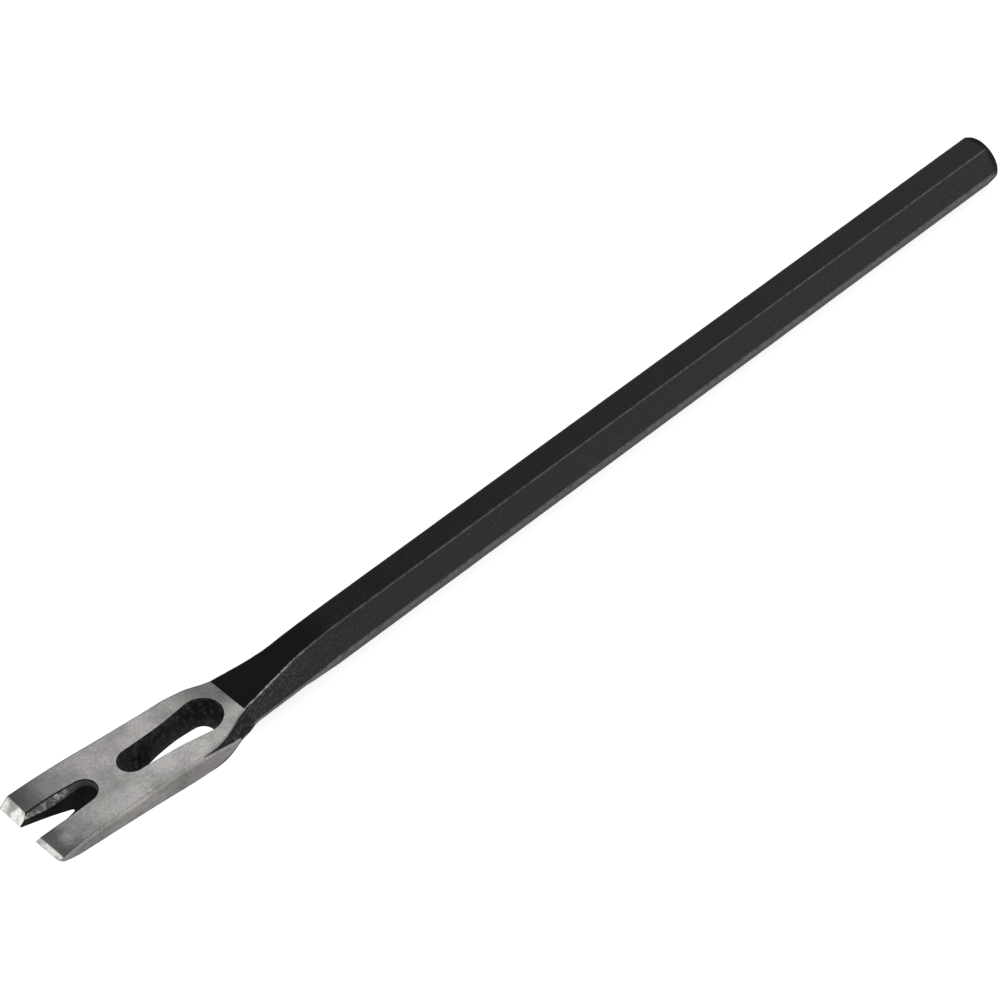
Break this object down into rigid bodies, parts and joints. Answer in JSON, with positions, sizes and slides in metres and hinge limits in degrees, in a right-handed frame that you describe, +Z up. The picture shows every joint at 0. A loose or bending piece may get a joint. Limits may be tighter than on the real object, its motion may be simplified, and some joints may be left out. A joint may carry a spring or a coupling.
{
  "type": "pry bar",
  "caption": "Hexagon-shank ripping bar with a flat ground claw blade, a nail notch between two tines and a teardrop nail slot.",
  "frame": {"origin": "middle of the overall length and width, on the flat that the bar lies on", "axes": "+X from the cutting edge to the struck end, +Z up, square to the flat the bar lies on, Y across the blade"},
  "size_m": [0.4572, 0.0363, 0.0207],
  "materials": {
    "ground_steel": "belt-ground bare tool steel, satin, with forge scale left in the slot and notch",
    "black_paint": "thin semi-matte black paint over forged steel"
  },
  "bodies": {
    "root": {"claw_blade": "ground_steel", "hex_shank": "black_paint"}
  },
  "joints": []
}
